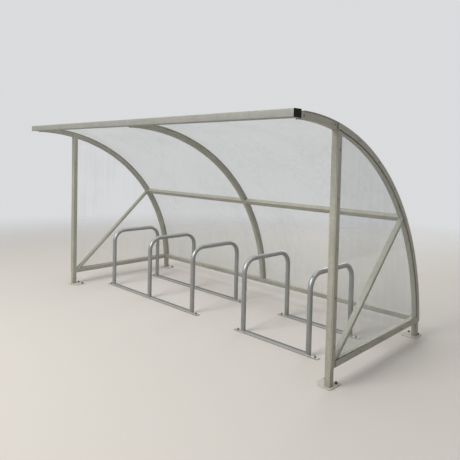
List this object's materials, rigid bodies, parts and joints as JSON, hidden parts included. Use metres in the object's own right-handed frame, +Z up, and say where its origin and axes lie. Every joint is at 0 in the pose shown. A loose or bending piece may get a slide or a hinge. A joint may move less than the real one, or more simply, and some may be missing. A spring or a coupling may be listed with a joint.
{
  "type": "cycle shelter",
  "caption": "Free-standing cycle shelter with a quarter-round clear roof on square tube ribs, clear ends, and hoops on floor rails to park bicycles.",
  "frame": {"origin": "middle of the footprint on the floor", "axes": "+X along the shelter to the right as seen from its open front, +Y to its back, +Z up"},
  "size_m": [4.14, 2.138, 2.057],
  "materials": {
    "frame_steel": "dull galvanised, weathered",
    "rack_steel": "bright galvanised, mottled",
    "clear_sheet": "clear, slightly dusty",
    "clamp_strip": "mill, weathered",
    "cap_plastic": "black, matt"
  },
  "bodies": {
    "root": {"middle_rib": "frame_steel", "front_beam": "frame_steel", "middle_rib_plate": "frame_steel", "left_post": "frame_steel", "left_rib": "frame_steel", "left_rib_plate": "frame_steel", "left_side_rail": "frame_steel", "left_brace": "frame_steel", "left_front_plate": "frame_steel", "left_back_plate": "frame_steel", "mid_rail_left": "frame_steel", "back_bottom_rail_left": "frame_steel", "left_beam_cap": "cap_plastic", "roof_sheet_left": "clear_sheet", "left_side_panel": "clear_sheet", "left_roof_strip": "clamp_strip", "left_rib_strip": "clamp_strip", "left_post_strip": "clamp_strip", "left_rail_strip": "clamp_strip", "left_rack_front_rail": "rack_steel", "left_rack_back_rail": "rack_steel", "right_post": "frame_steel", "right_rib": "frame_steel", "right_rib_plate": "frame_steel", "right_side_rail": "frame_steel", "right_brace": "frame_steel", "right_front_plate": "frame_steel", "right_back_plate": "frame_steel", "mid_rail_right": "frame_steel", "back_bottom_rail_right": "frame_steel", "right_beam_cap": "cap_plastic", "roof_sheet_right": "clear_sheet", "right_side_panel": "clear_sheet", "right_roof_strip": "clamp_strip", "right_rib_strip": "clamp_strip", "right_post_strip": "clamp_strip", "right_rail_strip": "clamp_strip", "right_rack_front_rail": "rack_steel", "right_rack_back_rail": "rack_steel", "middle_roof_strip": "clamp_strip", "hoop_1": "rack_steel", "hoop_2": "rack_steel", "hoop_3": "rack_steel", "hoop_4": "rack_steel", "hoop_5": "rack_steel"}
  },
  "joints": []
}
